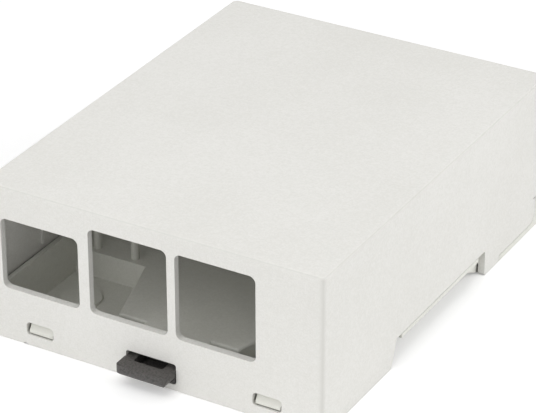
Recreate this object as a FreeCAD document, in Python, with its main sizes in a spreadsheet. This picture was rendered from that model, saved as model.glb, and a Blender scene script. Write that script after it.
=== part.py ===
import FreeCAD, Part
import math
import os
import re

import Sketcher

# Low enclosure for a 35 mm mounting rail, in three mouldings that snap together:
# a cover with connector windows, a base with the rail seat, and a sliding rail clip.
# Millimetres. X runs along the rail, the connector windows face -Y and +Z is up.
# The origin is on the rail seat, over the rail's centre line, in the middle of the width
# and of the depth. A setback is measured back from the front wall's outer face, an inset
# from an outer edge inwards, a level up from the feet.

SIZES = {
    # Whole body
    "width": 71.0,
    "depth": 90.5,
    "height": 32.2,
    "corner_radius": 1.2,
    "top_edge_radius": 0.5,
    # Rail, and how the body sits on it
    "rail_width": 35.0,
    "rail_thickness": 1.0,
    "rail_end_play": 0.3,
    "rail_slot_play": 0.3,
    "seat_height": 4.5,
    # Cover shell
    "cover_wall": 1.4,
    "cover_roof": 1.6,
    "inner_radius": 0.6,
    "fit_gap": 0.1,
    "side_gap": 0.35,
    # Room that the board takes, from the cover's inner faces
    "board_side_play": 1.0,
    "wiring_room": 11.2,
    "board_front_play": 1.3,
    "board_back_play": 1.4,
    "board_thickness": 1.4,
    "board_over_rim": 0.1,
    # Connector windows in the front wall, from the board's left edge
    "port_sill": 11.1,
    "window_radius": 1.3,
    "network_inset": 1.3,
    "network_width": 16.8,
    "network_lintel": 6.55,
    "network_post": 2.25,
    "serial_width": 16.5,
    "serial_lintel": 3.6,
    "serial_post": 1.68,
    # Openings in the left wall, from the board's rear edge and top, and the card slot
    "jack_inset": 53.5,
    "jack_diameter": 6.8,
    "jack_rise": 3.1,
    "video_inset": 32.0,
    "video_width": 17.0,
    "video_rise": 6.9,
    "power_inset": 10.6,
    "power_width": 9.5,
    "power_rise": 4.1,
    "side_port_drop": 0.3,
    "side_port_radius": 0.8,
    "card_width": 13.0,
    "card_drop": 2.4,
    "card_lift": 0.3,
    # Snap hooks, rear catches and what they fill in the cover
    "snap_inset": 11.35,
    "snap_slot_width": 5.9,
    "snap_slot_sill": 2.2,
    "snap_slot_rise": 2.7,
    "snap_slot_radius": 0.8,
    "snap_side_play": 0.4,
    "snap_level_play": 0.25,
    "snap_land": 0.6,
    "snap_hook_reach": 1.1,
    "catch_drop": 2.7,
    "catch_rise": 2.0,
    "catch_reach": 0.5,
    "nick_inset": 8.1,
    "nick_width": 0.75,
    "nick_rise": 0.28,
    # Side walls over the rail groove and the rear foot
    "foot_toe_radius": 1.2,
    "groove_lean": 1.9,
    "edge_rise": 0.97,
    "edge_radius": 0.5,
    "rear_tab_wall": 1.45,
    "rear_tab_length": 6.5,
    "rear_step_rise": 1.26,
    "rear_corner_inset": 3.4,
    "rear_corner_rise": 6.7,
    "rear_corner_radius": 2.5,
    "relief_length": 1.0,
    "relief_width": 0.25,
    # Guide ribs inside the cover's side walls
    "front_rib_setback": 16.2,
    "rear_rib_inset": 21.2,
    "rib_width": 1.0,
    "rib_depth": 0.5,
    "rib_gap": 1.15,
    # Base tray
    "base_wall": 1.5,
    "rim_wall": 1.0,
    "rim_drop": 0.5,
    "front_rim_drop": 0.3,
    "strip_front_gap": 2.0,
    "strip_back_gap": 2.9,
    # Fixed hook
    "hook_reach": 2.85,
    "hook_lip": 0.9,
    "hook_lip_radius": 0.35,
    "hook_heel": 0.5,
    # Board seats
    "hole_inset": 3.5,
    "boss_radius": 2.0,
    "boss_hole_radius": 1.1,
    "boss_hole_length": 4.5,
    "post_setback": 25.5,
    "post_pitch": 8.5,
    "post_radius": 0.8,
    "post_play": 0.1,
    "pad_side_inset": 6.85,
    "pad_end_inset": 16.4,
    "pad_radius": 4.0,
    "pad_rise": 0.6,
    # Clip housing in the base
    "neck_wall": 1.75,
    "neck_length": 6.9,
    "housing_half": 12.9,
    "housing_flare": 0.295,
    "housing_wall": 1.5,
    "housing_edge_radius": 0.5,
    "cavity_back_wall": 1.25,
    "mouth_sill": 0.5,
    "ledge_width": 1.35,
    "ledge_gap": 0.25,
    # Sliding rail clip
    "clip_width": 10.3,
    "clip_top": 4.5,
    "clip_thickness": 2.75,
    "clip_side_play": 0.15,
    "clip_lift_play": 0.2,
    "clip_travel": 3.0,
    "clip_stop_gap": 0.1,
    "clip_slot_below": 0.45,
    "clip_slot_above": 1.05,
    "clip_slot_radius": 0.5,
    "grip_width": 10.6,
    "grip_reach": 3.9,
    "grip_wall_gap": 0.3,
    "grip_corner_radius": 0.9,
    "grip_edge_radius": 2.1,
    "driver_pocket_width": 6.2,
    "driver_pocket_reach": 1.1,
    "driver_pocket_length": 4.6,
    "driver_pocket_depth": 1.9,
    "driver_pocket_radius": 0.5,
    "nose_inset": 0.4,
    "nose_thickness": 2.0,
    "nose_overlap": 2.05,
    "nose_bevel_length": 2.5,
    "nose_tip_thickness": 0.7,
    "leg_thickness": 1.1,
    "leg_wall_gap": 0.2,
    "leg_root": 1.4,
    "leg_room": 2.0,
    "leg_end_gap": 0.6,
    "leg_tip_radius": 0.3,
    "shoulder_radius": 0.6,
}

TINY = 1e-4

doc = FreeCAD.newDocument("RailEnclosure")


def make_sheet():
    """Writes the driving dimensions to a sheet, one named cell each."""
    sheet = doc.addObject("Spreadsheet::Sheet", "Sizes")
    for row, (name, value) in enumerate(SIZES.items(), start=1):
        sheet.set("A%d" % row, name)
        sheet.set("B%d" % row, str(value))
        sheet.setAlias("B%d" % row, name)
    doc.recompute()
    return sheet


SHEET = make_sheet()


def cell(formula):
    """Turns a formula on size names into an expression on the sheet's cells."""
    return re.sub(r"[a-z_]+", lambda m: "Sizes." + m[0] if m[0] in SIZES else m[0], formula)


def number(formula):
    """Value of a formula on size names."""
    return float(SHEET.evalExpression(cell(formula)))


def at_setback(formula):
    """Y of a place measured back from the front wall's outer face."""
    return "(%s - depth / 2)" % formula


def at_level(formula):
    """Z of a place measured up from the feet."""
    return "(%s - seat_height)" % formula


def negative(formula):
    """The same distance on the other side."""
    return "-(%s)" % formula


# Places worked out from the sizes
FRONT = at_setback("0")
BACK = at_setback("depth")
FEET = at_level("0")
BELOW = at_level("-seat_height")
WALL_INSIDE = "(width / 2 - cover_wall)"
CORE_HALF = "(width / 2 - cover_wall - side_gap)"
TRAY_HALF = "(width / 2 - cover_wall - side_gap - rim_wall)"
CORE_FRONT = at_setback("cover_wall + fit_gap")
CORE_BACK = at_setback("depth - cover_wall - fit_gap")
TRAY_FRONT = at_setback("cover_wall + fit_gap + rim_wall")
TRAY_BACK = at_setback("depth - cover_wall - fit_gap - rim_wall")
DECK = "(base_wall)"
FLOOR = at_level("base_wall")
INSIDE_FLOOR = at_level("base_wall / 2")
RIM_TOP = at_level("port_sill - rim_drop")
SNAP_CENTRE = "(width / 2 - snap_inset)"
NICK_CENTRE = "(width / 2 - nick_inset)"

# Board, and the windows and screw holes placed from it
BOARD_LEFT = "(board_side_play - %s)" % WALL_INSIDE
BOARD_FRONT = at_setback("cover_wall + board_front_play")
BOARD_BACK = at_setback("depth - cover_wall - board_back_play")
BOARD_BOTTOM = "(%s + board_over_rim)" % RIM_TOP
BOARD_TOP = "(%s + board_thickness)" % BOARD_BOTTOM
NETWORK_LEFT = "(%s + network_inset)" % BOARD_LEFT
SERIAL_LEFT = "(%s + network_width + network_post)" % NETWORK_LEFT
HOLE_LEFT = "(%s + hole_inset)" % BOARD_LEFT
HOLE_RIGHT = "(%s - wiring_room - hole_inset)" % WALL_INSIDE
HOLE_BACK = "(%s - hole_inset)" % BOARD_BACK
CARD_LEFT = "((%s + %s - card_width) / 2)" % (HOLE_LEFT, HOLE_RIGHT)
CARD_RIGHT = "(%s + card_width)" % CARD_LEFT

# Rail groove: its front face leans back, its far end carries the fixed hook
SLOPE = "(groove_lean / (seat_height + edge_rise))"
RISER_WALL = "(base_wall * sqrt(1 + %s ^ 2))" % SLOPE
GROOVE_FRONT = "(-rail_width / 2 - groove_lean)"
GROOVE_FRONT_ABOVE = "(-rail_width / 2)"
POCKET_BACK = "(rail_width / 2 + rail_end_play)"
LIP_TOP = "(-rail_thickness - rail_slot_play)"
TAB_FRONT = "(%s + rear_tab_wall)" % POCKET_BACK
TAB_BACK = "(%s + rear_tab_length)" % TAB_FRONT
REAR_CORNER = at_setback("depth - rear_corner_inset")


def riser(level):
    """Y of the groove's front face at a level."""
    return "(%s + %s * (%s))" % (GROOVE_FRONT, SLOPE, level)


# Clip: neck and shoulder, the flared housing round it, and the nose under the rail
NECK_INSIDE = "(clip_width / 2 + clip_side_play)"
NECK_OUTSIDE = "(clip_width / 2 + clip_side_play + neck_wall)"
STEP = "(%s + neck_length)" % TRAY_FRONT
CAVITY_FRONT = "(%s + housing_wall)" % STEP
CAVITY_BACK = "(%s - cavity_back_wall)" % GROOVE_FRONT
CLIP_LOW = at_level("clip_top - clip_thickness")
GRIP_BACK = at_setback("-grip_wall_gap")
LEDGE_TOP = "(%s - ledge_gap)" % CLIP_LOW
FLARE_STRETCH = "sqrt(1 + housing_flare ^ 2)"
SHOULDER = "(%s + clip_stop_gap + clip_travel)" % CAVITY_FRONT
CLIP_BACK = "(%s - clip_stop_gap)" % CAVITY_BACK
LEG_ROOT = "(%s + leg_root)" % SHOULDER
LEG_TIP = "(%s - leg_end_gap)" % CLIP_BACK
NOSE_TOP = "(-rail_thickness - clip_lift_play)"
NOSE_BOTTOM = "(-rail_thickness - clip_lift_play - nose_thickness)"
NOSE_TIP = "(nose_overlap - rail_width / 2)"


def housing_outside(y):
    """Half width of the clip housing at a place."""
    return "(housing_half + housing_flare * (%s - %s))" % (y, STEP)


def housing_inside(y):
    """Half width of the clip housing's cavity at a place."""
    return "(%s - housing_wall * %s)" % (housing_outside(y), FLARE_STRETCH)


def leg_outside(y):
    """Half width over the spring legs, which clear the flared walls over the travel."""
    return "(%s - leg_wall_gap * %s)" % (housing_inside(y + " - clip_travel"), FLARE_STRETCH)


def leg_inside(y):
    """Half width between the spring legs."""
    return "(%s - leg_thickness * %s)" % (leg_outside(y), FLARE_STRETCH)


BODY_HALF = "(%s - leg_room)" % leg_inside(LEG_ROOT)
NOSE_HALF = "(%s - nose_inset)" % BODY_HALF


def new_body(label):
    """Empty body whose label names the sub-part."""
    body = doc.addObject("PartDesign::Body", label)
    body.Label = label
    body.Placement = FreeCAD.Placement()
    return body


def origin_plane(body, role):
    """One of the body's own origin planes."""
    return next(item for item in body.Origin.OriginFeatures if item.Role == role)


def new_sketch(body, name, plane_role, lift=None):
    """Sketch on one of the body's origin planes, lifted along the plane's normal."""
    sketch = body.newObject("Sketcher::SketchObject", name)
    sketch.AttachmentSupport = [(origin_plane(body, plane_role), "")]
    sketch.MapMode = "FlatFace"
    if lift:
        sketch.setExpression("AttachmentOffset.Base.z", cell(lift))
    return sketch


def bind(sketch, constraint, formula):
    """Adds a dimension to a sketch and ties it to a formula on the sheet."""
    index = sketch.addConstraint(constraint)
    sketch.setExpression("Constraints[%d]" % index, cell(formula))


def pin(sketch, geometry, end, x, y):
    """Ties a point of a sketch to formulas for its two coordinates."""
    bind(sketch, Sketcher.Constraint("DistanceX", -1, 1, geometry, end, number(x)), x)
    bind(sketch, Sketcher.Constraint("DistanceY", -1, 1, geometry, end, number(y)), y)


def corner_arc(before, corner, after, radius):
    """Start, middle and end of the arc that rounds a corner between two straights."""
    back = (before - corner).normalize()
    ahead = (after - corner).normalize()
    half_angle = back.getAngle(ahead) / 2
    reach = radius / math.tan(half_angle)
    bisector = (back + ahead).normalize()
    middle = corner + bisector * (radius / math.sin(half_angle) - radius)
    return corner + back * reach, middle, corner + ahead * reach


def outline(sketch, corners):
    """Closed outline through corners given as (x, y) or, where rounded, (x, y, radius)."""
    spots = [FreeCAD.Vector(number(c[0]), number(c[1]), 0) for c in corners]
    count = len(corners)
    arriving = list(spots)
    leaving = list(spots)
    arcs = {}
    for i, corner in enumerate(corners):
        if len(corner) == 3:
            ends = corner_arc(spots[i - 1], spots[i], spots[(i + 1) % count], number(corner[2]))
            arriving[i] = ends[0]
            leaving[i] = ends[2]
            arcs[i] = Part.Arc(*ends)
    lines = []
    for i in range(count):
        straight = Part.LineSegment(leaving[i], arriving[(i + 1) % count])
        lines.append(sketch.addGeometry(straight, False))
    for i, corner in enumerate(corners):
        line_in = lines[i - 1]
        line_out = lines[i]
        if i not in arcs:
            sketch.addConstraint(Sketcher.Constraint("Coincident", line_in, 2, line_out, 1))
            pin(sketch, line_out, 1, corner[0], corner[1])
            continue
        arc = sketch.addGeometry(arcs[i], False)
        first = 1 if sketch.getPoint(arc, 1).distanceToPoint(arriving[i]) < TINY else 2
        sketch.addConstraint(Sketcher.Constraint("Tangent", line_in, 2, arc, first))
        sketch.addConstraint(Sketcher.Constraint("Tangent", line_out, 1, arc, 3 - first))
        bind(sketch, Sketcher.Constraint("Radius", arc, number(corner[2])), corner[2])
        point = sketch.addGeometry(Part.Point(spots[i]), True)
        sketch.addConstraint(Sketcher.Constraint("PointOnObject", point, 1, line_in))
        sketch.addConstraint(Sketcher.Constraint("PointOnObject", point, 1, line_out))
        pin(sketch, point, 1, corner[0], corner[1])


def rectangle(sketch, left, right, low, high, *radius):
    """Closed rectangle between four formulas, with rounded corners where asked."""
    corners = [(left, low), (right, low), (right, high), (left, high)]
    outline(sketch, [corner + radius for corner in corners])


def both_sides(half):
    """Outline symmetric about the Y axis, from the corners of its right half."""
    left = [(negative(corner[0]),) + corner[1:] for corner in reversed(half)]
    return half + left


def circle(sketch, x, y, radius):
    """Circle with its centre and radius tied to formulas."""
    centre = FreeCAD.Vector(number(x), number(y), 0)
    ring = Part.Circle(centre, FreeCAD.Vector(0, 0, 1), number(radius))
    index = sketch.addGeometry(ring, False)
    pin(sketch, index, 3, x, y)
    bind(sketch, Sketcher.Constraint("Radius", index, number(radius)), radius)


def current_volume(body):
    """Volume of a body's last feature, zero for an empty body."""
    doc.recompute()
    return body.Tip.Shape.Volume if body.Tip else 0.0


def extrude(body, kind, name, sketch, length, side, reverse):
    """Pad or pocket of a sketch, all the way through where no length is given."""
    feature = body.newObject("PartDesign::" + kind, name)
    feature.Profile = sketch
    feature.SideType = side
    feature.Reversed = reverse
    if length:
        feature.setExpression("Length", cell(length))
    else:
        feature.Type = "ThroughAll"
    return feature


def pad(body, name, sketch, length, side="One side", reverse=False):
    """Adds material from a sketch along its normal."""
    before = current_volume(body)
    feature = extrude(body, "Pad", name, sketch, length, side, reverse)
    if current_volume(body) <= before:
        raise RuntimeError(name + " adds nothing")
    return feature


def pocket(body, name, sketch, length=None, side="One side", reverse=False):
    """Cuts a sketch out of the body, against the sketch's normal."""
    before = current_volume(body)
    feature = extrude(body, "Pocket", name, sketch, length, side, reverse)
    if current_volume(body) >= before:
        raise RuntimeError(name + " cuts nothing")
    return feature


def mirror_to_left(body, name, feature):
    """Repeats a feature on the other side of the body's middle plane."""
    mirrored = body.newObject("PartDesign::Mirrored", name)
    mirrored.Originals = [feature]
    mirrored.MirrorPlane = (origin_plane(body, "YZ_Plane"), [""])
    body.Tip = mirrored
    doc.recompute()
    return mirrored


def near(value, target):
    """Whether two lengths agree."""
    return abs(value - target) < TINY


def round_edges(body, name, radius, test):
    """Rounds the edges whose ends and middle all pass a test on a point."""
    doc.recompute()
    base = body.Tip
    names = []
    for index, edge in enumerate(base.Shape.Edges, start=1):
        middle = edge.valueAt((edge.FirstParameter + edge.LastParameter) / 2)
        if all(test(point) for point in [v.Point for v in edge.Vertexes] + [middle]):
            names.append("Edge%d" % index)
    if not names:
        raise RuntimeError(name + " finds no edge")
    feature = body.newObject("PartDesign::Fillet", name)
    feature.Base = (base, names)
    feature.setExpression("Radius", cell(radius))
    doc.recompute()
    return feature


# Cover


def cover_shell(cover):
    """Outer block with rounded corners, hollowed from below."""
    sketch = new_sketch(cover, "CoverPlan", "XY_Plane", FEET)
    rectangle(sketch, "-width / 2", "width / 2", FRONT, BACK, "corner_radius")
    pad(cover, "CoverBlock", sketch, "height")
    top = number(at_level("height"))
    round_edges(cover, "TopEdge", "top_edge_radius", lambda p: near(p.z, top))
    sketch = new_sketch(cover, "HollowPlan", "XY_Plane", FEET)
    rectangle(
        sketch,
        negative(WALL_INSIDE),
        WALL_INSIDE,
        at_setback("cover_wall"),
        at_setback("depth - cover_wall"),
        "inner_radius",
    )
    pocket(cover, "Hollow", sketch, "height - cover_roof", reverse=True)


def cover_windows(cover):
    """Three connector windows through the front wall."""
    sketch = new_sketch(cover, "WindowFace", "XZ_Plane", negative(FRONT))
    for left, width, lintel in (
        (NETWORK_LEFT, "network_width", "network_lintel"),
        (SERIAL_LEFT, "serial_width", "serial_lintel"),
        (SERIAL_LEFT + " + serial_width + serial_post", "serial_width", "serial_lintel"),
    ):
        rectangle(
            sketch,
            left,
            "%s + %s" % (left, width),
            at_level("port_sill"),
            at_level("height - " + lintel),
            "window_radius",
        )
    pocket(cover, "Windows", sketch, "cover_wall + fit_gap")


def cover_front_slots(cover):
    """Clip slot, snap slots and the nicks beside them in the front wall."""
    sketch = new_sketch(cover, "ClipSlotFace", "XZ_Plane", negative(FRONT))
    rectangle(
        sketch,
        negative(NECK_INSIDE),
        NECK_INSIDE,
        CLIP_LOW + " - clip_slot_below",
        at_level("clip_top + clip_slot_above"),
        "clip_slot_radius",
    )
    pocket(cover, "ClipSlot", sketch, "cover_wall + fit_gap")
    sketch = new_sketch(cover, "SnapSlotFace", "XZ_Plane", negative(FRONT))
    rectangle(
        sketch,
        SNAP_CENTRE + " - snap_slot_width / 2",
        SNAP_CENTRE + " + snap_slot_width / 2",
        at_level("snap_slot_sill"),
        at_level("snap_slot_sill + snap_slot_rise"),
        "snap_slot_radius",
    )
    slot = pocket(cover, "SnapSlot", sketch, "cover_wall + fit_gap")
    mirror_to_left(cover, "SnapSlots", slot)
    sketch = new_sketch(cover, "NickFace", "XZ_Plane", negative(FRONT))
    rectangle(
        sketch,
        NICK_CENTRE + " - nick_width / 2",
        NICK_CENTRE + " + nick_width / 2",
        at_level("-nick_rise"),
        at_level("nick_rise"),
    )
    nick = pocket(cover, "Nick", sketch, "cover_wall + fit_gap")
    mirror_to_left(cover, "Nicks", nick)


def cover_groove_edge(cover):
    """Cuts the side walls over the rail groove and rounds the toes beside it."""
    sketch = new_sketch(cover, "GrooveSide", "YZ_Plane")
    outline(
        sketch,
        [
            (riser("-seat_height"), BELOW),
            (TAB_FRONT, BELOW),
            (TAB_FRONT, "edge_rise", "edge_radius"),
            (GROOVE_FRONT_ABOVE, "edge_rise", "edge_radius"),
        ],
    )
    pocket(cover, "Groove", sketch, side="Symmetric")
    feet = number(FEET)
    for name, radius, place in (
        ("FootToe", "foot_toe_radius", number(GROOVE_FRONT)),
        ("TabToe", "edge_radius", number(TAB_FRONT)),
    ):
        round_edges(cover, name, radius, lambda p: near(p.z, feet) and near(p.y, place))


def cover_rear_step(cover):
    """Steps the side walls and the back wall round the base's rear foot."""
    past_back = at_setback("depth + cover_wall")
    relief_front = REAR_CORNER + " - relief_length"
    relief_low = at_level("rear_corner_rise - relief_width")
    sketch = new_sketch(cover, "RearStepSide", "YZ_Plane")
    outline(
        sketch,
        [
            (TAB_BACK, BELOW),
            (past_back, BELOW),
            (past_back, at_level("rear_corner_rise")),
            (relief_front, at_level("rear_corner_rise")),
            (relief_front, relief_low),
            (REAR_CORNER, relief_low),
            (REAR_CORNER, at_level("rear_step_rise"), "rear_corner_radius"),
            (TAB_BACK, at_level("rear_step_rise")),
        ],
    )
    pocket(cover, "RearStep", sketch, side="Symmetric")


def cover_side_ports(cover):
    """Openings for the board's side connectors in the left wall."""
    sketch = new_sketch(cover, "SidePortFace", "YZ_Plane", negative(CORE_HALF))
    circle(sketch, BOARD_BACK + " - jack_inset", BOARD_TOP + " + jack_rise", "jack_diameter / 2")
    for inset, width, rise in (
        ("video_inset", "video_width", "video_rise"),
        ("power_inset", "power_width", "power_rise"),
    ):
        rectangle(
            sketch,
            "%s - %s - %s / 2" % (BOARD_BACK, inset, width),
            "%s - %s + %s / 2" % (BOARD_BACK, inset, width),
            BOARD_TOP + " - side_port_drop",
            "%s + %s" % (BOARD_TOP, rise),
            "side_port_radius",
        )
    pocket(cover, "SidePorts", sketch, "2 * cover_wall")


def cover_back(cover):
    """Card slot through the back wall, and recesses in it for the rear catches."""
    sketch = new_sketch(cover, "CardSlotFace", "XZ_Plane", negative(CORE_BACK))
    rectangle(
        sketch,
        CARD_LEFT,
        CARD_RIGHT,
        BOARD_BOTTOM + " - card_drop",
        BOARD_BOTTOM + " + card_lift",
        "side_port_radius",
    )
    pocket(cover, "CardSlot", sketch, "2 * cover_wall")
    sketch = new_sketch(cover, "CatchRecessFace", "XZ_Plane", negative(CORE_BACK))
    rectangle(
        sketch,
        SNAP_CENTRE + " - snap_slot_width / 2",
        SNAP_CENTRE + " + snap_slot_width / 2",
        RIM_TOP + " - catch_drop",
        RIM_TOP + " - catch_drop + catch_rise",
    )
    recess = pocket(cover, "CatchRecess", sketch, "catch_reach + 2 * fit_gap")
    mirror_to_left(cover, "CatchRecesses", recess)


def cover_ribs(cover):
    """Upright guide ribs inside the side walls, from above the base's rim to the roof."""
    sketch = new_sketch(cover, "RibPlan", "XY_Plane", RIM_TOP + " + rib_gap")
    for place in (at_setback("front_rib_setback"), at_setback("depth - rear_rib_inset")):
        rectangle(
            sketch,
            "cover_wall / 2 - width / 2",
            "cover_wall + rib_depth - width / 2",
            place + " - rib_width / 2",
            place + " + rib_width / 2",
        )
    inside_roof = at_level("height - cover_roof / 2")
    ribs = pad(cover, "LeftRibs", sketch, "%s - %s - rib_gap" % (inside_roof, RIM_TOP))
    mirror_to_left(cover, "Ribs", ribs)


def make_cover():
    """Cover moulding: top and four walls."""
    cover = new_body("cover")
    cover_shell(cover)
    cover_windows(cover)
    cover_front_slots(cover)
    cover_groove_edge(cover)
    cover_rear_step(cover)
    cover_side_ports(cover)
    cover_back(cover)
    cover_ribs(cover)
    return cover


# Base


def base_block(base):
    """Block inside the cover's walls, with the strips and rear foot flush with them."""
    sketch = new_sketch(base, "BlockPlan", "XY_Plane", FEET)
    rectangle(sketch, negative(CORE_HALF), CORE_HALF, CORE_FRONT, CORE_BACK, "inner_radius")
    pad(base, "Block", sketch, "%s - %s" % (RIM_TOP, FEET))
    sketch = new_sketch(base, "StripPlan", "XY_Plane")
    rectangle(
        sketch,
        "-width / 2",
        "width / 2",
        GROOVE_FRONT_ABOVE + " + strip_front_gap",
        TAB_FRONT + " - strip_back_gap",
    )
    pad(base, "FlushStrips", sketch, "edge_rise - fit_gap")
    sketch = new_sketch(base, "RearFootSide", "YZ_Plane")
    foot_front = TAB_BACK + " + fit_gap"
    foot_corner = REAR_CORNER + " + fit_gap"
    outline(
        sketch,
        [
            (foot_front, FEET),
            (BACK, FEET),
            (BACK, at_level("rear_corner_rise - fit_gap")),
            (foot_corner, at_level("rear_corner_rise - fit_gap")),
            (foot_corner, at_level("rear_step_rise - fit_gap"), "rear_corner_radius + fit_gap"),
            (foot_front, at_level("rear_step_rise - fit_gap")),
        ],
    )
    pad(base, "RearFoot", sketch, "width", side="Symmetric")
    back = number(BACK)
    side = number("width / 2")
    round_edges(
        base, "RearFootCorners", "corner_radius", lambda p: near(p.y, back) and near(abs(p.x), side)
    )


def base_inside(base):
    """Hollows the tray down to the two floors and the deck over the rail."""
    sketch = new_sketch(base, "InsideSide", "YZ_Plane")
    above = RIM_TOP + " + base_wall"
    rear_riser = TAB_FRONT + " + base_wall"
    outline(
        sketch,
        [
            (TRAY_FRONT, FLOOR),
            ("%s - %s" % (riser("base_wall"), RISER_WALL), FLOOR),
            ("%s - %s" % (riser("seat_height + base_wall"), RISER_WALL), DECK),
            (rear_riser, DECK),
            (rear_riser, FLOOR),
            (TRAY_BACK, FLOOR),
            (TRAY_BACK, above),
            (TRAY_FRONT, above),
        ],
    )
    pocket(base, "Inside", sketch, "2 * " + TRAY_HALF, side="Symmetric")
    sketch = new_sketch(base, "FrontRimPlan", "XY_Plane", RIM_TOP)
    rectangle(sketch, negative(TRAY_HALF), TRAY_HALF, FRONT, TRAY_FRONT + " + fit_gap")
    pocket(base, "FrontRimTop", sketch, "front_rim_drop")


def base_clip_housing(base):
    """Flared housing over the clip, level with the deck and rounded along its top."""
    end = GROOVE_FRONT_ABOVE + " + base_wall"
    sketch = new_sketch(base, "HousingPlan", "XY_Plane", INSIDE_FLOOR)
    outline(
        sketch,
        both_sides(
            [
                (NECK_OUTSIDE, CORE_FRONT + " + rim_wall / 2"),
                (NECK_OUTSIDE, STEP),
                ("housing_half", STEP),
                (housing_outside(end), end),
            ]
        ),
    )
    pad(base, "ClipHousing", sketch, "seat_height + base_wall / 2")
    deck = number(DECK)
    front = number(TRAY_FRONT)
    back = number("%s - %s" % (riser("seat_height + base_wall"), RISER_WALL))
    half = number(housing_outside("%s - %s" % (riser("seat_height + base_wall"), RISER_WALL)))
    round_edges(
        base,
        "HousingTopEdge",
        "housing_edge_radius",
        lambda p: near(p.z, deck)
        and front - TINY < p.y < back + TINY
        and abs(p.x) < half + TINY,
    )


def base_board_seats(base):
    """Screw bosses under the board's rear end, posts under its front and floor pads."""
    sketch = new_sketch(base, "BossPlan", "XY_Plane", INSIDE_FLOOR)
    for x in (HOLE_LEFT, HOLE_RIGHT):
        circle(sketch, x, HOLE_BACK, "boss_radius")
    pad(base, "Bosses", sketch, "%s - %s" % (BOARD_BOTTOM, INSIDE_FLOOR))
    sketch = new_sketch(base, "PostPlan", "XY_Plane", INSIDE_FLOOR)
    place = BOARD_FRONT + " + post_setback"
    inner = (HOLE_LEFT + " + post_pitch", HOLE_RIGHT + " - post_pitch")
    for x in (HOLE_LEFT, HOLE_RIGHT) + inner:
        circle(sketch, x, place, "post_radius")
    pad(base, "Posts", sketch, "%s - post_play - %s" % (BOARD_BOTTOM, INSIDE_FLOOR))
    sketch = new_sketch(base, "PadPlan", "XY_Plane", INSIDE_FLOOR)
    for x in (TRAY_HALF + " - pad_side_inset", "pad_side_inset - " + TRAY_HALF):
        for y in ("pad_end_inset", "depth - pad_end_inset"):
            circle(sketch, x, at_setback(y), "pad_radius")
    pad(base, "FloorPads", sketch, "base_wall / 2 + pad_rise")
    sketch = new_sketch(base, "BossHolePlan", "XY_Plane", BOARD_BOTTOM)
    for x in (HOLE_LEFT, HOLE_RIGHT):
        circle(sketch, x, HOLE_BACK, "boss_hole_radius")
    pocket(base, "BossHoles", sketch, "boss_hole_length")


def base_rail_groove(base):
    """Groove for the rail across the whole underside, with the fixed hook at its far end."""
    lip_low = LIP_TOP + " - hook_lip"
    heel = TAB_FRONT + " + hook_heel"
    tip = POCKET_BACK + " - hook_reach"
    sketch = new_sketch(base, "RailGrooveSide", "YZ_Plane")
    outline(
        sketch,
        [
            (riser("-seat_height"), BELOW),
            (heel, BELOW),
            (heel, FEET),
            (tip, lip_low, "hook_lip_radius"),
            (tip, LIP_TOP, "hook_lip_radius"),
            (POCKET_BACK, LIP_TOP),
            (POCKET_BACK, "0"),
            (riser("seat_height"), "0"),
        ],
    )
    pocket(base, "RailGroove", sketch, side="Symmetric")
    feet = number(FEET)
    toe = number(GROOVE_FRONT)
    round_edges(base, "Toe", "foot_toe_radius", lambda p: near(p.z, feet) and near(p.y, toe))


def base_clip_cavity(base):
    """Room for the clip: neck, flared cavity, mouth between the ledges, nose opening."""
    flared = [
        (housing_inside(CAVITY_FRONT), CAVITY_FRONT),
        (housing_inside(CAVITY_BACK), CAVITY_BACK),
    ]
    sketch = new_sketch(base, "CavityPlan", "XY_Plane", LEDGE_TOP)
    neck = [(NECK_INSIDE, at_setback("cover_wall")), (NECK_INSIDE, CAVITY_FRONT)]
    outline(sketch, both_sides(neck + flared))
    ceiling = at_level("clip_top + clip_lift_play")
    pocket(base, "Cavity", sketch, "%s - %s" % (ceiling, LEDGE_TOP), reverse=True)
    sketch = new_sketch(base, "MouthPlan", "XY_Plane", FEET)
    mouth_half = NECK_INSIDE + " - ledge_width"
    mouth = [(mouth_half, TRAY_FRONT + " + mouth_sill"), (mouth_half, CAVITY_FRONT)]
    outline(sketch, both_sides(mouth + flared))
    pocket(base, "Mouth", sketch, "%s - %s" % (LEDGE_TOP, FEET), reverse=True)
    sketch = new_sketch(base, "NoseFace", "XZ_Plane", negative(GROOVE_FRONT_ABOVE))
    rectangle(
        sketch,
        "-%s - clip_side_play" % NOSE_HALF,
        NOSE_HALF + " + clip_side_play",
        NOSE_BOTTOM + " - clip_lift_play",
        NOSE_TOP + " + clip_lift_play",
    )
    pocket(base, "NoseOpening", sketch, "groove_lean + 2 * cavity_back_wall", reverse=True)


def snap(base, name, wall, outward, reach, low, rise):
    """Wedge on the rim, with a flat underside and a ramp down from its top, at +X and -X."""
    root = "%s - (%s) * rim_wall / 2" % (wall, outward)
    tip = "%s + (%s) * %s" % (wall, outward, reach)
    bottom = low + " + snap_level_play"
    top = "%s + %s - snap_level_play" % (low, rise)
    lift = SNAP_CENTRE + " - snap_slot_width / 2 + snap_side_play"
    sketch = new_sketch(base, name + "Side", "YZ_Plane", lift)
    outline(
        sketch,
        [
            (root, bottom),
            (tip, bottom),
            (tip, bottom + " + snap_land"),
            (wall, top),
            (root, top),
        ],
    )
    wedge = pad(base, name, sketch, "snap_slot_width - 2 * snap_side_play")
    mirror_to_left(base, name + "Pair", wedge)


def base_card_notch(base):
    """Opens the back rim behind the cover's card slot."""
    sketch = new_sketch(base, "CardNotchFace", "XZ_Plane", negative(TRAY_BACK))
    rectangle(
        sketch,
        CARD_LEFT,
        CARD_RIGHT,
        BOARD_BOTTOM + " - card_drop",
        RIM_TOP + " + base_wall",
    )
    pocket(base, "CardNotch", sketch, "2 * rim_wall")


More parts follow.
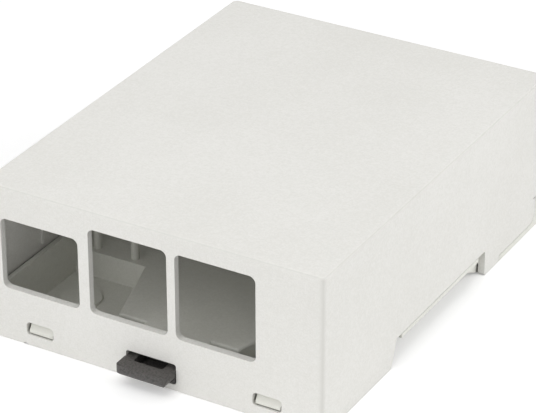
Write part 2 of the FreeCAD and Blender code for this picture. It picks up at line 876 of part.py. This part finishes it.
def make_base():
    """Base moulding: tray, feet, rail seat, fixed hook and clip housing."""
    base = new_body("base")
    base_block(base)
    base_inside(base)
    base_clip_housing(base)
    base_board_seats(base)
    base_rail_groove(base)
    base_clip_cavity(base)
    slot_sill = at_level("snap_slot_sill")
    recess_low = RIM_TOP + " - catch_drop"
    snap(base, "FrontHook", CORE_FRONT, "-1", "snap_hook_reach", slot_sill, "snap_slot_rise")
    snap(base, "RearCatch", CORE_BACK, "1", "catch_reach", recess_low, "catch_rise")
    base_card_notch(base)
    return base


# Rail clip


def clip_plan(clip):
    """Grip, neck, body and the two spring legs that trail from the shoulders."""
    sketch = new_sketch(clip, "ClipPlan", "XY_Plane", CLIP_LOW)
    outline(
        sketch,
        both_sides(
            [
                ("grip_width / 2", at_setback("-grip_reach"), "grip_corner_radius"),
                ("grip_width / 2", GRIP_BACK),
                ("clip_width / 2", GRIP_BACK),
                ("clip_width / 2", SHOULDER),
                (leg_outside(SHOULDER), SHOULDER, "shoulder_radius"),
                (leg_outside(LEG_TIP), LEG_TIP, "leg_tip_radius"),
                (leg_inside(LEG_TIP), LEG_TIP, "leg_tip_radius"),
                (leg_inside(LEG_ROOT), LEG_ROOT, "leg_tip_radius"),
                (BODY_HALF, LEG_ROOT, "leg_tip_radius"),
                (BODY_HALF, CLIP_BACK),
            ]
        ),
    )
    pad(clip, "ClipBlock", sketch, "clip_thickness")


def clip_nose(clip):
    """Nose that reaches under the rail's near flange, bevelled below."""
    bevel_start = NOSE_TIP + " - nose_bevel_length"
    sketch = new_sketch(clip, "NoseSide", "YZ_Plane")
    outline(
        sketch,
        [
            (LEG_TIP, NOSE_BOTTOM),
            (bevel_start, NOSE_BOTTOM),
            (NOSE_TIP, NOSE_TOP + " - nose_tip_thickness"),
            (NOSE_TIP, NOSE_TOP),
            (LEG_TIP, NOSE_TOP),
        ],
    )
    pad(clip, "Nose", sketch, "2 * " + NOSE_HALF, side="Symmetric")


def clip_grip(clip):
    """Screwdriver pocket in the grip, and the rounded lower edges of its front and sides."""
    sketch = new_sketch(clip, "DriverPocketPlan", "XY_Plane", at_level("clip_top"))
    rectangle(
        sketch,
        "-driver_pocket_width / 2",
        "driver_pocket_width / 2",
        at_setback("-driver_pocket_reach"),
        at_setback("driver_pocket_length - driver_pocket_reach"),
        "driver_pocket_radius",
    )
    pocket(clip, "DriverPocket", sketch, "driver_pocket_depth")
    half = "grip_width / 2"
    tip = at_setback("-grip_reach")
    under = CLIP_LOW + " - grip_edge_radius"
    over = at_level("clip_top")
    sketch = new_sketch(clip, "GripFrontSide", "YZ_Plane")
    outline(
        sketch,
        [
            (tip + " - grip_edge_radius", under),
            (GRIP_BACK, under),
            (GRIP_BACK, CLIP_LOW),
            (tip, CLIP_LOW, "grip_edge_radius"),
            (tip, over),
            (tip + " - grip_edge_radius", over),
        ],
    )
    pocket(clip, "GripFrontEdge", sketch, side="Symmetric")
    sketch = new_sketch(clip, "GripEndFace", "XZ_Plane", negative(GRIP_BACK))
    outline(
        sketch,
        [
            ("0", under),
            (half + " + grip_edge_radius", under),
            (half + " + grip_edge_radius", over),
            (half, over),
            (half, CLIP_LOW, "grip_edge_radius"),
            ("0", CLIP_LOW),
        ],
    )
    edge = pocket(clip, "GripEndEdge", sketch, "grip_reach + grip_edge_radius", reverse=True)
    mirror_to_left(clip, "GripEndEdges", edge)


def make_clip():
    """Rail clip moulding."""
    clip = new_body("rail_clip")
    clip_plan(clip)
    clip_nose(clip)
    clip_grip(clip)
    return clip


def check_model(bodies):
    """Stops where an object failed or a sub-part is not one valid solid."""
    doc.recompute()
    for item in doc.Objects:
        if "Invalid" in item.State or "Error" in item.State:
            raise RuntimeError(item.Name + " failed")
    for body in bodies:
        shape = body.Shape
        if shape.isNull() or not shape.isValid() or len(shape.Solids) != 1:
            raise RuntimeError(body.Label + " is not one valid solid")


def write_parts(bodies):
    """Writes each sub-part to a file named after it."""
    os.makedirs("parts", exist_ok=True)
    for body in bodies:
        body.Shape.exportStep(os.path.join("parts", body.Label + ".step"))
        print(body.Label, round(body.Shape.Volume, 1), "mm3")


BODIES = [make_cover(), make_base(), make_clip()]
check_model(BODIES)
write_parts(BODIES)
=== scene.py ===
import logging
import math
from dataclasses import dataclass, field, replace
from enum import Enum

import bpy
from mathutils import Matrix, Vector

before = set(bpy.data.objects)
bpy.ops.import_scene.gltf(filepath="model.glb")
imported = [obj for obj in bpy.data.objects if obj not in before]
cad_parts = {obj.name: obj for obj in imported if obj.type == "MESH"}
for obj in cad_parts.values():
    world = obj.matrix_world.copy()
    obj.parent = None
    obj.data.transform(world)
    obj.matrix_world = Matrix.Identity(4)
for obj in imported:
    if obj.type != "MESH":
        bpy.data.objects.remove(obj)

LOG = logging.getLogger("rail_enclosure")
MM = 0.001

# The photograph's frame, and the camera's sensor.
PHOTO_WIDTH_PX = 536
PHOTO_HEIGHT_PX = 413
SENSOR_MM = 36.0
NEAREST_SEEN_MM = 10.0
FARTHEST_SEEN_MM = 20000.0

# How a screen's colour value turns into a linear one.
SCREEN_WHITE = 255.0
SCREEN_TOE_END = 0.04045
SCREEN_TOE_SLOPE = 12.92
SCREEN_OFFSET = 0.055
SCREEN_POWER = 2.4

# Colour sockets of a Mix node, which share their names with the number ones.
MIX_AMOUNT = 0
MIX_FIRST = 6
MIX_SECOND = 7
MIX_RESULT = 2

NOISE_ROUGHNESS = 0.6
NOISE_MIDDLE = 0.5
EDGE_SAMPLES = 6
JOINT_SAMPLES = 8

Colour = tuple[float, float, float, float]

WHITE: Colour = (1.0, 1.0, 1.0, 1.0)
NO_LIGHT: Colour = (0.0, 0.0, 0.0, 1.0)


class Signal:
    """A node socket's output, on which Python's operators add Math nodes."""

    def __init__(self, graph: "Graph", socket: bpy.types.NodeSocket) -> None:
        """Wraps one output socket.

        Args:
            graph: The material's node graph.
            socket: The output socket.
        """
        self.graph = graph
        self.socket = socket

    def _math(self, operation: str, first: object, second: object) -> "Signal":
        """Adds a Math node.

        Args:
            operation: The node's operation.
            first: Left operand, a signal or a number.
            second: Right operand, a signal or a number.

        Returns:
            The node's result.
        """
        return self.graph.add(
            "ShaderNodeMath", {"operation": operation}, {0: first, 1: second}
        )["Value"]

    def __add__(self, other: object) -> "Signal":
        """Sum."""
        return self._math("ADD", self, other)

    def __radd__(self, other: object) -> "Signal":
        """Sum, with the number on the left."""
        return self._math("ADD", other, self)

    def __sub__(self, other: object) -> "Signal":
        """Difference."""
        return self._math("SUBTRACT", self, other)

    def __rsub__(self, other: object) -> "Signal":
        """Difference, with the number on the left."""
        return self._math("SUBTRACT", other, self)

    def __mul__(self, other: object) -> "Signal":
        """Product."""
        return self._math("MULTIPLY", self, other)

    def __rmul__(self, other: object) -> "Signal":
        """Product, with the number on the left."""
        return self._math("MULTIPLY", other, self)

    def __or__(self, other: object) -> "Signal":
        """The larger of the two."""
        return self._math("MAXIMUM", self, other)

    def __ror__(self, other: object) -> "Signal":
        """The larger of the two, with the number on the left."""
        return self._math("MAXIMUM", other, self)


class Outputs:
    """The outputs of one node, each as a signal."""

    def __init__(self, graph: "Graph", node: bpy.types.Node) -> None:
        """Wraps a node.

        Args:
            graph: The material's node graph.
            node: The node.
        """
        self.graph = graph
        self.node = node

    def __getitem__(self, key: str | int) -> Signal:
        """The output of that name or number."""
        return Signal(self.graph, self.node.outputs[key])


class Graph:
    """Node graph of one material or world."""

    def __init__(self, tree: bpy.types.NodeTree) -> None:
        """Starts an empty graph.

        Args:
            tree: The node tree to fill.
        """
        self.tree = tree
        tree.nodes.clear()

    def add(
        self, kind: str, settings: dict[str, object], inputs: dict[str | int, object]
    ) -> Outputs:
        """Adds a node, with its settings first and its sockets after them.

        Args:
            kind: The node's type.
            settings: The node's own properties.
            inputs: For each input, by name or number, a signal or a value.

        Returns:
            The node's outputs.
        """
        node = self.tree.nodes.new(kind)
        for name, value in settings.items():
            setattr(node, name, value)
        for key, value in inputs.items():
            if isinstance(value, Signal):
                self.tree.links.new(value.socket, node.inputs[key])
            else:
                node.inputs[key].default_value = value
        return Outputs(self, node)

    def blend(self, amount: Signal, first: Signal | Colour, second: Signal | Colour) -> Signal:
        """Mixes two colours.

        Args:
            amount: 0 for the first colour, 1 for the second.
            first: Linear colour, or the signal of one.
            second: Linear colour, or the signal of one.

        Returns:
            The mixed colour.
        """
        return self.add(
            "ShaderNodeMix",
            {"data_type": "RGBA"},
            {MIX_AMOUNT: amount, MIX_FIRST: first, MIX_SECOND: second},
        )[MIX_RESULT]

    def noise(self, place: Signal, size_mm: float, detail: float) -> Signal:
        """Adds a noise.

        Args:
            place: The place that it is read at.
            size_mm: Size of its features.
            detail: How many finer layers it has.

        Returns:
            The noise, from 0 to 1.
        """
        return self.add(
            "ShaderNodeTexNoise",
            {"noise_dimensions": "3D"},
            {
                "Vector": place,
                "Scale": 1.0 / (size_mm * MM),
                "Detail": detail,
                "Roughness": NOISE_ROUGHNESS,
            },
        )["Fac"]

    def ramp(self, value: Signal, start: float, full: float) -> Signal:
        """Stretches part of a range to 0 to 1.

        Args:
            value: What is stretched.
            start: Where the result is 0.
            full: Where the result is 1.

        Returns:
            The result, held between 0 and 1.
        """
        return self.add(
            "ShaderNodeMapRange",
            {"clamp": True},
            {"Value": value, "From Min": start, "From Max": full},
        )["Result"]

    def bump(self, height: Signal, depth_mm: float, normal: Signal) -> Signal:
        """Adds relief to a normal.

        Args:
            height: The relief's height, from 0 to 1.
            depth_mm: How deep it goes.
            normal: The normal that it is laid on.

        Returns:
            The normal with the relief.
        """
        return self.add(
            "ShaderNodeBump",
            {},
            {"Strength": 1.0, "Distance": depth_mm * MM, "Height": height, "Normal": normal},
        )["Normal"]

    def lean(self, normal: Signal) -> Signal:
        """How far a face leans off the nearest axis.

        Args:
            normal: The face's normal.

        Returns:
            0 for a face square to an axis, more for a rounded edge.
        """
        parts = self.add("ShaderNodeSeparateXYZ", {}, {"Vector": normal})
        sizes = [parts[axis] | (0.0 - parts[axis]) for axis in ("X", "Y", "Z")]
        return 1.0 - (sizes[0] | sizes[1] | sizes[2])

    def seen(self) -> Signal:
        """1 for a ray of the camera, a mirror or glass, and 0 for one that carries light."""
        rays = self.add("ShaderNodeLightPath", {}, {})
        return rays["Is Camera Ray"] | rays["Is Glossy Ray"] | rays["Is Transmission Ray"]


def new_material(name: str) -> tuple[bpy.types.Material, Graph]:
    """Makes an empty node material.

    Args:
        name: The material's name.

    Returns:
        The material and its graph.
    """
    material = bpy.data.materials.new(name)
    material.use_nodes = True
    return material, Graph(material.node_tree)


def linear(red: int, green: int, blue: int) -> Colour:
    """Turns a colour as a screen shows it into a linear one.

    Args:
        red: 0 to 255.
        green: 0 to 255.
        blue: 0 to 255.

    Returns:
        The linear colour, opaque.
    """

    def one(value: int) -> float:
        """One channel."""
        share = value / SCREEN_WHITE
        if share <= SCREEN_TOE_END:
            return share / SCREEN_TOE_SLOPE
        return ((share + SCREEN_OFFSET) / (1.0 + SCREEN_OFFSET)) ** SCREEN_POWER

    return one(red), one(green), one(blue), 1.0


def grey(level: float) -> Colour:
    """An opaque linear grey."""
    return level, level, level, 1.0


@dataclass(frozen=True)
class MouldedPlastic:
    """Injection moulded plastic: grain, flow marks, edges lightened partly as wear and partly
    as a painted highlight, painted shade on roundings, painted shade in joints.

    The grain, the mottle and the flow marks mix colour into flow_colour. A mask's start and
    full are where it begins and where it is complete: flow on the noise, edge on how far
    the rounded normal leaves the flat one, rounding on how far a face leans off the axes,
    and joint on how open a place is.
    """

    name: str
    colour: Colour
    flow_colour: Colour
    # Edge colour: partly wear, partly a painted highlight along edges.
    worn_highlit_colour: Colour
    # Joint colour: painted shade in gaps and crevices.
    joint_shade_colour: Colour
    # Rounding colour: painted shade on rounded faces.
    rounding_shade_colour: Colour
    roughness: float
    roughness_spread: float
    grain_depth_mm: float
    edge_radius_mm: float
    specular: float
    grain_mm: float = 0.34
    grain_detail: float = 2.0
    grain_tint: float = 0.6
    mottle_mm: float = 0.9
    mottle_detail: float = 1.0
    mottle_tint: float = 0.6
    flow_mm: float = 36.0
    flow_detail: float = 3.0
    flow_start: float = 0.2
    flow_full: float = 0.8
    sink_mm: float = 9.0
    sink_detail: float = 1.0
    sink_depth_mm: float = 0.02
    edge_start: float = 0.02
    edge_full: float = 0.25
    # How strongly edges lighten, as wear and as a painted highlight together.
    worn_highlit_edge_base: float = 0.35
    worn_highlit_edge_by_grain: float = 0.5
    # Ramp of the painted shade on rounded faces.
    rounding_start: float = 0.0
    rounding_full: float = 0.25
    # Reach and ramp of the painted shade in joints.
    joint_reach_mm: float = 0.9
    joint_start: float = 0.46
    joint_full: float = 0.12

    def material(self) -> bpy.types.Material:
        """Builds the finish.

        Returns:
            The material.
        """
        material, graph = new_material(self.name)
        place = graph.add("ShaderNodeTexCoord", {}, {})["Object"]
        grain = graph.noise(place, self.grain_mm, self.grain_detail)
        sink = graph.noise(place, self.sink_mm, self.sink_detail)
        soft_edge = graph.add(
            "ShaderNodeBevel", {"samples": EDGE_SAMPLES}, {"Radius": self.edge_radius_mm * MM}
        )["Normal"]
        waves = graph.bump(sink, self.sink_depth_mm, soft_edge)
        surface = graph.add(
            "ShaderNodeBsdfPrincipled",
            {},
            {
                "Base Color": self._tint(graph, place, grain, soft_edge),
                "Roughness": self.roughness + self.roughness_spread * (grain - NOISE_MIDDLE),
                "Specular IOR Level": self.specular,
                "Normal": graph.bump(grain, self.grain_depth_mm, waves),
            },
        )["BSDF"]
        graph.add("ShaderNodeOutputMaterial", {}, {"Surface": surface})
        return material

    def _tint(self, graph: Graph, place: Signal, grain: Signal, soft_edge: Signal) -> Signal:
        """Colour, with its flow marks, painted shade on roundings, edges lightened partly as
        wear and partly as a painted highlight, and painted shade in joints.

        Args:
            graph: The material's graph.
            place: Place on the part.
            grain: The fine grain.
            soft_edge: Normal with its edges rounded.

        Returns:
            The colour.
        """
        mottle = graph.noise(place, self.mottle_mm, self.mottle_detail) - NOISE_MIDDLE
        speckle = self.grain_tint * (grain - NOISE_MIDDLE)
        stream = graph.noise(place, self.flow_mm, self.flow_detail)
        flow = stream + self.mottle_tint * mottle + speckle
        flat = graph.add("ShaderNodeNewGeometry", {}, {})["True Normal"]
        level = graph.add(
            "ShaderNodeVectorMath", {"operation": "DOT_PRODUCT"}, {0: soft_edge, 1: flat}
        )["Value"]
        # Lighter edges: partly wear, partly a painted highlight where rounded edges catch
        # light.
        worn_highlit_amount = self.worn_highlit_edge_base + self.worn_highlit_edge_by_grain * grain
        edge = graph.ramp(1.0 - level, self.edge_start, self.edge_full) * worn_highlit_amount
        # Painted shade on faces that lean off the axes, so rounded edges read darker.
        rounding = graph.ramp(graph.lean(flat), self.rounding_start, self.rounding_full)
        # Painted shade in gaps and crevices between parts, where little light gets in.
        openness = graph.add(
            "ShaderNodeAmbientOcclusion",
            {"samples": JOINT_SAMPLES},
            {"Distance": self.joint_reach_mm * MM},
        )["AO"]
        joint = graph.ramp(openness, self.joint_start, self.joint_full)
        marks = graph.ramp(flow, self.flow_start, self.flow_full)
        colour = graph.blend(marks, self.colour, self.flow_colour)
        colour = graph.blend(rounding, colour, self.rounding_shade_colour)
        colour = graph.blend(edge, colour, self.worn_highlit_colour)
        return graph.blend(joint, colour, self.joint_shade_colour)


COVER_GREY = MouldedPlastic(
    name="light_grey_plastic",
    colour=linear(233, 232, 228),
    flow_colour=linear(225, 224, 219),
    # Lighter edge colour: partly wear, partly a painted highlight.
    worn_highlit_colour=linear(234, 233, 229),
    # Painted shade in gaps and crevices.
    joint_shade_colour=linear(150, 148, 141),
    # Painted shade on rounded faces.
    rounding_shade_colour=linear(213, 212, 207),
    roughness=0.55,
    roughness_spread=0.12,
    grain_depth_mm=0.012,
    edge_radius_mm=0.09,
    specular=0.25,
    grain_tint=1.5,
)
BASE_GREY = replace(
    COVER_GREY,
    name="base_grey_plastic",
    colour=linear(232, 232, 225),
    flow_colour=linear(224, 224, 216),
    # Lighter edge colour: partly wear, partly a painted highlight.
    worn_highlit_colour=linear(233, 233, 227),
    # Painted shade on rounded faces, here only slight.
    rounding_shade_colour=linear(229, 229, 222),
)
CLIP_BLACK = MouldedPlastic(
    name="black_plastic",
    colour=linear(84, 81, 79),
    flow_colour=linear(60, 59, 57),
    # Much lighter edge colour: partly wear, partly a painted highlight.
    worn_highlit_colour=linear(104, 99, 97),
    # Painted shade in gaps and crevices, near black.
    joint_shade_colour=linear(18, 17, 17),
    # Painted shade on rounded faces.
    rounding_shade_colour=linear(78, 76, 74),
    roughness=0.5,
    roughness_spread=0.16,
    grain_depth_mm=0.05,
    edge_radius_mm=0.25,
    specular=0.4,
    grain_mm=0.38,
    grain_tint=2.6,
    joint_start=0.75,
    joint_full=0.4,
)


class Node(Enum):
    """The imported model's nodes."""

    COVER = "cover"
    BASE = "base"
    RAIL_CLIP = "rail_clip"


@dataclass
class Moulding:
    """One moulded part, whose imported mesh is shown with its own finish."""

    node: Node
    finish: MouldedPlastic

    def dress(self) -> bpy.types.Object:
        """Gives the node its finish.

        Returns:
            The node's object.
        """
        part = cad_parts[self.node.value]
        part.data.materials.clear()
        part.data.materials.append(self.finish.material())
        return part


@dataclass
class Enclosure:
    """Cover, base and rail clip."""

    mouldings: list[Moulding] = field(
        default_factory=lambda: [
            Moulding(Node.COVER, COVER_GREY),
            Moulding(Node.BASE, BASE_GREY),
            Moulding(Node.RAIL_CLIP, CLIP_BLACK),
        ]
    )

    def build(self) -> None:
        """Dresses every part."""
        for moulding in self.mouldings:
            part = moulding.dress()
            LOG.info("dressed %s with %s", part.name, moulding.finish.name)


def heading(azimuth_deg: float, elevation_deg: float) -> Vector:
    """Direction from the object to a camera or lamp.

    Args:
        azimuth_deg: 0 in front of the windows, positive towards +X.
        elevation_deg: 0 level, 90 straight above.

    Returns:
        The unit vector.
    """
    azimuth = math.radians(azimuth_deg)
    elevation = math.radians(elevation_deg)
    return Vector(
        (
            math.cos(elevation) * math.sin(azimuth),
            -math.cos(elevation) * math.cos(azimuth),
            math.sin(elevation),
        )
    )


@dataclass
class Lamp:
    """Square area lamp aimed at the object's origin."""

    name: str
    azimuth_deg: float
    elevation_deg: float
    power_w: float
    distance_mm: float = 900.0
    size_mm: float = 700.0

    def build(self) -> bpy.types.Object:
        """Hangs the lamp.

        Returns:
            The lamp's object.
        """
        data = bpy.data.lights.new(self.name, "AREA")
        data.size = self.size_mm * MM
        data.energy = self.power_w
        lamp = bpy.data.objects.new(self.name, data)
        bpy.context.scene.collection.objects.link(lamp)
        direction = heading(self.azimuth_deg, self.elevation_deg)
        lamp.location = direction * self.distance_mm * MM
        lamp.rotation_euler = direction.to_track_quat("Z", "Y").to_euler()
        return lamp


@dataclass
class PhotoCamera:
    """Camera placed as the photograph's was, from the enclosure's own edges."""

    azimuth_deg: float = 29.835
    elevation_deg: float = 29.136
    roll_deg: float = -0.073
    distance_mm: float = 526.28
    target_mm: tuple[float, float, float] = (0.0, -0.25, 9.19)
    focal_px: float = 2751.4
    axis_px: tuple[float, float] = (274.72, 212.33)

    def build(self) -> bpy.types.Object:
        """Sets up the camera.

        Returns:
            The camera's object.
        """
        data = bpy.data.cameras.new("photo_camera")
        data.sensor_fit = "HORIZONTAL"
        data.sensor_width = SENSOR_MM
        data.lens = self.focal_px / PHOTO_WIDTH_PX * SENSOR_MM
        data.shift_x = (PHOTO_WIDTH_PX / 2 - self.axis_px[0]) / PHOTO_WIDTH_PX
        data.shift_y = (self.axis_px[1] - PHOTO_HEIGHT_PX / 2) / PHOTO_WIDTH_PX
        data.clip_start = NEAREST_SEEN_MM * MM
        data.clip_end = FARTHEST_SEEN_MM * MM
        camera = bpy.data.objects.new("photo_camera", data)
        bpy.context.scene.collection.objects.link(camera)
        direction = heading(self.azimuth_deg, self.elevation_deg)
        target = Vector(self.target_mm) * MM
        camera.location = target + direction * self.distance_mm * MM
        facing = direction.to_track_quat("Z", "Y").to_matrix().to_4x4()
        camera.rotation_euler = facing.to_euler()
        camera.rotation_euler.rotate_axis("Z", math.radians(self.roll_deg))
        bpy.context.scene.camera = camera
        return camera


@dataclass
class Studio:
    """Pale floor, soft lamps and a white surround.

    surround is the share of white that lights the object, and floor_lift what the floor
    adds to its own lit colour where it is seen.
    """

    floor_mm: float = 4000.0
    floor_level_mm: float = -4.55
    floor_grey: float = 0.9
    floor_lift: float = 0.24
    surround: float = 0.3
    lamps: list[Lamp] = field(
        default_factory=lambda: [
            Lamp("front_lamp", -8.0, 12.0, 2.34),
            Lamp("brow_lamp", 0.0, 55.0, 2.6),
            Lamp("top_lamp", 0.0, 85.0, 1.63),
            Lamp("side_lamp", 104.0, 35.0, 3.85),
        ]
    )

    def floor(self) -> bpy.types.Object:
        """Lays the floor under the feet.

        Returns:
            The floor's object.
        """
        half = self.floor_mm * MM / 2
        level = self.floor_level_mm * MM
        corners = [(-half, -half), (half, -half), (half, half), (-half, half)]
        mesh = bpy.data.meshes.new("floor")
        mesh.from_pydata([(x, y, level) for x, y in corners], [], [(0, 1, 2, 3)])
        floor = bpy.data.objects.new("floor", mesh)
        bpy.context.scene.collection.objects.link(floor)
        mesh.materials.append(self.floor_card())
        return floor

    def floor_card(self) -> bpy.types.Material:
        """Matt card, a little lifted where it is seen.

        Returns:
            The material.
        """
        material, graph = new_material("floor_card")
        surface = graph.add(
            "ShaderNodeBsdfPrincipled",
            {},
            {
                "Base Color": grey(self.floor_grey),
                "Roughness": 1.0,
                "Specular IOR Level": 0.0,
                "Emission Color": graph.blend(graph.seen(), NO_LIGHT, grey(self.floor_lift)),
                "Emission Strength": 1.0,
            },
        )["BSDF"]
        graph.add("ShaderNodeOutputMaterial", {}, {"Surface": surface})
        return material

    def white_surround(self) -> bpy.types.World:
        """White where it is seen, and dimmer where it lights the object.

        Returns:
            The world.
        """
        world = bpy.data.worlds.new("studio")
        world.use_nodes = True
        graph = Graph(world.node_tree)
        strength = self.surround + (1.0 - self.surround) * graph.seen()
        light = graph.add("ShaderNodeBackground", {}, {"Color": WHITE, "Strength": strength})
        graph.add("ShaderNodeOutputWorld", {}, {"Surface": light["Background"]})
        return world

    def build(self) -> None:
        """Sets up the floor, the lamps and the surround."""
        scene = bpy.context.scene
        scene.view_settings.view_transform = "Standard"
        self.floor()
        for lamp in self.lamps:
            lamp.build()
        scene.world = self.white_surround()


def main() -> None:
    """Builds the scene and reports each piece."""
    logging.basicConfig(level=logging.INFO, format="%(name)s: %(message)s")
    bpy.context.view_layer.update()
    camera = PhotoCamera().build()
    LOG.info("camera at %s", [round(value, 4) for value in camera.location])
    Studio().build()
    LOG.info("studio built")
    Enclosure().build()


if __name__ == "__main__":
    main()
